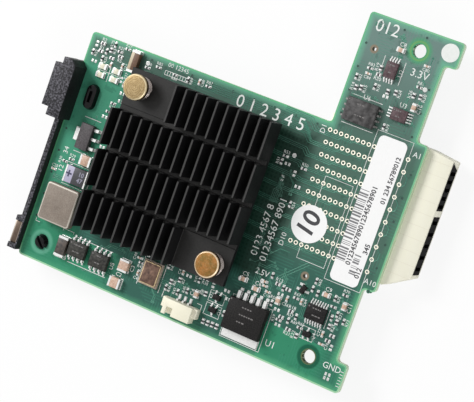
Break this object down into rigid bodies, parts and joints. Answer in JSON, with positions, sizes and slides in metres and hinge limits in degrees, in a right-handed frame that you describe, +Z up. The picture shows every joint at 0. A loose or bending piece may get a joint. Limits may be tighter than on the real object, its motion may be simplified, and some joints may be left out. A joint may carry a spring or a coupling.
{
  "type": "mezzanine network card",
  "caption": "Small server mezzanine card: L-shaped circuit board with a pinned black finned heat sink, an edge clip and a right-angle connector under its right edge.",
  "frame": {"origin": "midway between the two screw holes, on the underside of the board", "axes": "+X along the board towards the right-angle connector, +Y up the arm, +Z up from the component side"},
  "size_m": [0.0988, 0.084, 0.0157],
  "materials": {
    "board_laminate": "green solder mask over glass-epoxy laminate",
    "black_anodised": "black anodised extrusion",
    "thermal_compound": "soft grey pad",
    "package_laminate": "green package laminate",
    "nickel_plate": "satin nickel plate",
    "turned_brass": "turned brass",
    "spring_steel": "bright spring wire",
    "clip_plastic": "spark-textured black moulding",
    "latch_metal": "brown tinted spring sheet",
    "connector_cream": "cream moulded connector resin",
    "connector_black": "black moulded connector resin",
    "contact_gold": "gold-plated contacts",
    "ferrite": "warm grey ferrite",
    "moulding_compound": "dark grey moulding compound",
    "tinned_metal": "matte tin plate",
    "oscillator_ceramic": "dark ceramic",
    "oscillator_metal": "seam-welded lid",
    "polymer_case": "dark grey case with a pale stripe",
    "tantalum_case": "amber moulded case",
    "capacitor_ceramic": "tan ceramic",
    "resistor_ceramic": "black film on ceramic",
    "led_resin": "cream diffuser resin",
    "label_paper": "blank white label"
  },
  "bodies": {
    "root": {"circuit_board": "board_laminate", "heat_sink": "black_anodised", "thermal_pad": "thermal_compound", "controller_substrate": "package_laminate", "controller_lid": "nickel_plate", "push_pins": "turned_brass", "pin_springs": "spring_steel", "edge_clip": "clip_plastic", "clip_latch": "latch_metal", "midplane_housing": "connector_cream", "mating_face_lower": "connector_black", "mating_face_upper": "connector_black", "contact_wafers": "connector_black", "mezzanine_plug_housing": "connector_black", "mezzanine_plug_contacts": "contact_gold", "service_header_housing": "connector_cream", "service_header_contacts": "tinned_metal", "power_inductor_core": "ferrite", "power_inductor_ends": "tinned_metal", "power_regulator_body": "moulding_compound", "power_regulator_tab": "tinned_metal", "power_regulator_leads": "tinned_metal", "small_regulator_body": "moulding_compound", "small_regulator_tab": "tinned_metal", "small_regulator_leads": "tinned_metal", "oscillator_base": "oscillator_ceramic", "oscillator_lid": "oscillator_metal", "driver_chip_bodies": "moulding_compound", "driver_chip_leads": "tinned_metal", "sequencer_chip_body": "moulding_compound", "sequencer_chip_leads": "tinned_metal", "monitor_chip_bodies": "moulding_compound", "monitor_chip_leads": "tinned_metal", "memory_chip_body": "moulding_compound", "memory_chip_leads": "tinned_metal", "transistor_bodies": "moulding_compound", "transistor_leads": "tinned_metal", "rectifier_body": "moulding_compound", "rectifier_ends": "tinned_metal", "polymer_capacitor_body": "polymer_case", "polymer_capacitor_ends": "tinned_metal", "tantalum_capacitor_body": "tantalum_case", "tantalum_capacitor_ends": "tinned_metal", "status_led_bodies": "led_resin", "status_led_ends": "tinned_metal", "chip_resistor_bodies": "resistor_ceramic", "chip_resistor_ends": "tinned_metal", "ceramic_capacitor_bodies": "capacitor_ceramic", "ceramic_capacitor_ends": "tinned_metal", "rating_label": "label_paper", "round_label": "label_paper"}
  },
  "joints": []
}
